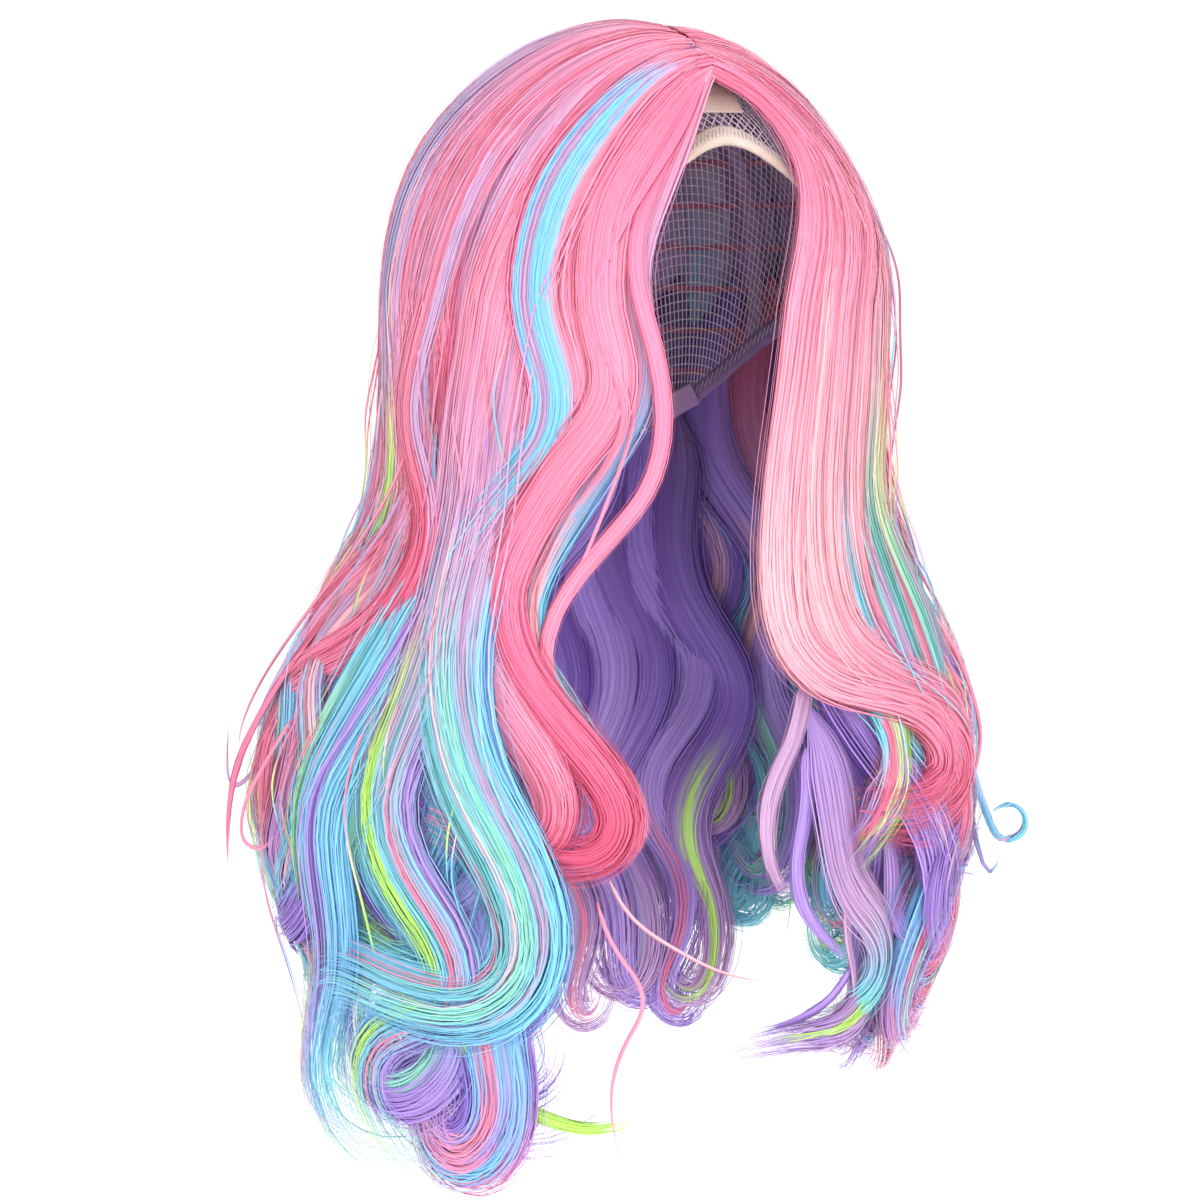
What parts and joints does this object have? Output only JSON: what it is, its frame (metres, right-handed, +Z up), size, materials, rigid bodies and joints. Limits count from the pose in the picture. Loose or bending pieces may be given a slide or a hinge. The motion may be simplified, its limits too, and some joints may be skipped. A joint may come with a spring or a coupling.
{
  "type": "costume wig",
  "caption": "Long wavy multicoloured costume wig on an adjustable stretch cap with a parting, face-framing locks and hooked end curls.",
  "frame": {"origin": "inner crown of the cap, where the top of the wearer's head seats", "axes": "+Z up, -Y the way the face looks, +X the wearer's left"},
  "size_m": [0.3867, 0.283, 0.5335],
  "materials": {
    "net": "matte",
    "skin_strip": "matte",
    "elastic": "matte",
    "ribbon": "satin",
    "weft": "satin",
    "stay_steel": "satin",
    "hook_plastic": "satin",
    "hair_pink": "satin",
    "hair_light": "satin",
    "hair_blue": "satin",
    "hair_aqua": "satin",
    "hair_lavender": "satin",
    "hair_plum": "satin"
  },
  "bodies": {
    "cap": {"crown_net": "net", "parting_strip": "skin_strip", "front_hem": "skin_strip", "nape_hem": "elastic", "centre_ribbon": "ribbon", "side_ribbon_left": "ribbon", "side_ribbon_right": "ribbon", "weft_row_1": "weft", "weft_row_2": "weft", "weft_row_3": "weft", "weft_row_4": "weft", "weft_row_5": "weft", "weft_row_6": "weft", "weft_row_7": "weft", "strap_casing_left": "ribbon", "loop_tape_left": "ribbon", "crown_hair_left": "hair_pink", "front_hair_left": "hair_pink", "side_hair_left": "hair_light", "back_hair_left": "hair_light", "nape_hair_left": "hair_plum", "strap_casing_right": "ribbon", "loop_tape_right": "ribbon", "crown_hair_right": "hair_pink", "front_hair_right": "hair_pink", "side_hair_right": "hair_light", "back_hair_right": "hair_light", "nape_hair_right": "hair_plum"},
    "ear_tab_left": {"ear_tab_left": "skin_strip", "ear_tab_stay_left": "stay_steel"},
    "strap_left": {"strap_left": "elastic", "strap_hook_left": "hook_plastic"},
    "ear_tab_right": {"ear_tab_right": "skin_strip", "ear_tab_stay_right": "stay_steel"},
    "strap_right": {"strap_right": "elastic", "strap_hook_right": "hook_plastic"},
    "front_lock_left": {"front_lock_left": "hair_pink", "front_underlock_left": "hair_lavender", "front_curls_left": "hair_lavender"},
    "front_lock_right": {"front_lock_right": "hair_pink", "front_underlock_right": "hair_lavender", "front_curls_right": "hair_lavender"},
    "side_lock_left": {"side_lock_left": "hair_blue", "side_underlock_left": "hair_aqua", "side_curls_left": "hair_blue", "spiral_tendril_left": "hair_blue"},
    "side_lock_right": {"side_lock_right": "hair_blue", "side_underlock_right": "hair_aqua", "side_curls_right": "hair_blue", "stray_lock_right": "hair_pink"},
    "back_lock_left": {"back_lock_left": "hair_light", "back_underlock_left": "hair_lavender", "back_curls_left": "hair_lavender"},
    "back_lock_right": {"back_lock_right": "hair_light", "back_underlock_right": "hair_lavender", "back_curls_right": "hair_lavender"}
  },
  "joints": [
    {"name": "ear_tab_left_flex", "type": "hinge", "parent": "cap", "child": "ear_tab_left", "pos_m": [0.0765, 0, -0.1225], "axis": [0, -1, 0], "range_deg": [-20, 4], "stiffness_Nm_per_rad": 0.002},
    {"name": "strap_left_slide", "type": "slide", "parent": "cap", "child": "strap_left", "axis": [-0.867, 0.2228, -0.4457], "range_m": [-0.008, 0.008]},
    {"name": "ear_tab_right_flex", "type": "hinge", "parent": "cap", "child": "ear_tab_right", "pos_m": [-0.0765, 0, -0.1225], "axis": [0, 1, 0], "range_deg": [-20, 4], "stiffness_Nm_per_rad": 0.002},
    {"name": "strap_right_slide", "type": "slide", "parent": "cap", "child": "strap_right", "axis": [0.867, 0.2228, -0.4457], "range_m": [-0.008, 0.008]},
    {"name": "front_lock_left_lift", "type": "hinge", "parent": "cap", "child": "front_lock_left", "pos_m": [0.06511, -0.08169, -0.166], "axis": [-0.8387, -0.5446, 0], "range_deg": [0, 25]},
    {"name": "front_lock_right_lift", "type": "hinge", "parent": "cap", "child": "front_lock_right", "pos_m": [-0.07764, -0.07157, -0.166], "axis": [-0.7604, 0.6494, 0], "range_deg": [0, 25]},
    {"name": "side_lock_left_lift", "type": "hinge", "parent": "cap", "child": "side_lock_left", "pos_m": [0.1189, 0.01323, -0.166], "axis": [-0.1045, -0.9945, 0], "range_deg": [0, 25]},
    {"name": "side_lock_right_lift", "type": "hinge", "parent": "cap", "child": "side_lock_right", "pos_m": [-0.1189, 0.01323, -0.166], "axis": [-0.1045, 0.9945, 0], "range_deg": [0, 25]},
    {"name": "back_lock_left_lift", "type": "hinge", "parent": "cap", "child": "back_lock_left", "pos_m": [0.06564, 0.13482, -0.166], "axis": [0.8358, -0.549, 0], "range_deg": [0, 25]},
    {"name": "back_lock_right_lift", "type": "hinge", "parent": "cap", "child": "back_lock_right", "pos_m": [-0.06564, 0.13482, -0.166], "axis": [0.8358, 0.549, 0], "range_deg": [0, 25]}
  ]
}
